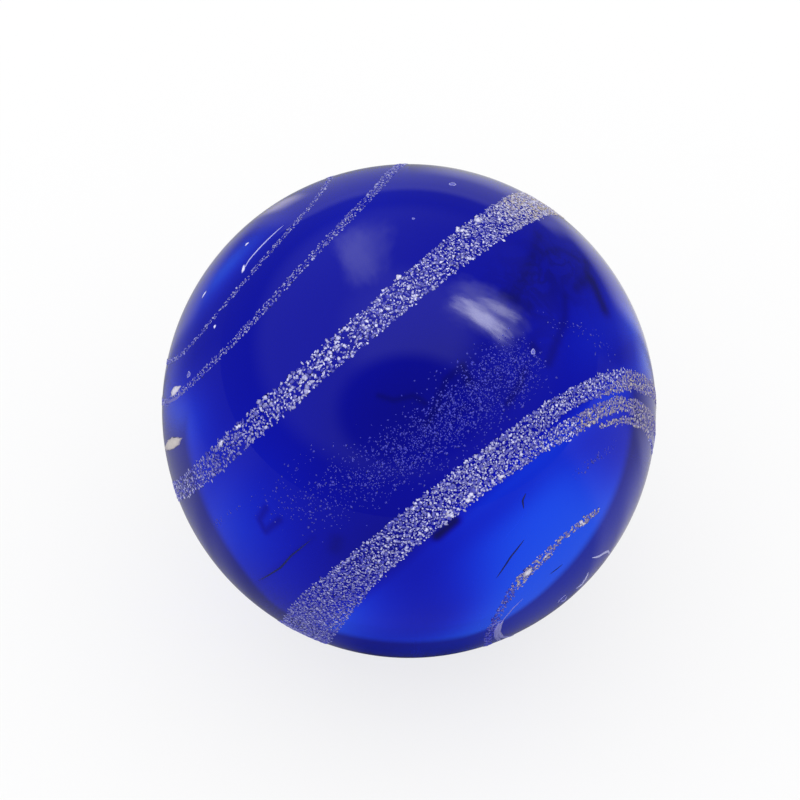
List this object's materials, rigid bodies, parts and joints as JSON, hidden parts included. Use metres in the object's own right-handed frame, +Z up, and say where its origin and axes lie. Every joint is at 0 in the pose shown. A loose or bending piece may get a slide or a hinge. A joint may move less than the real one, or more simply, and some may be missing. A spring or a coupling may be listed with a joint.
{
  "type": "glass marble",
  "caption": "Polished ball of cobalt glass with a trail of silver flecks wound about it in its skin.",
  "frame": {"origin": "centre of the ball", "axes": "+Z up as the marble lies, -Y towards the viewer, +X to the viewer's right; the trail's winding axis leans to the left and nods to the back"},
  "size_m": [0.025, 0.025, 0.025],
  "materials": {
    "cobalt_glass": "fire-polished clear cobalt glass, deep blue, with a few pits, bubbles and creases",
    "silver_flecks": "fine silver mica flecks sunk in the skin of the glass, sparkling"
  },
  "bodies": {
    "root": {"glass_ball": "cobalt_glass", "silver_trail": "silver_flecks"}
  },
  "joints": []
}
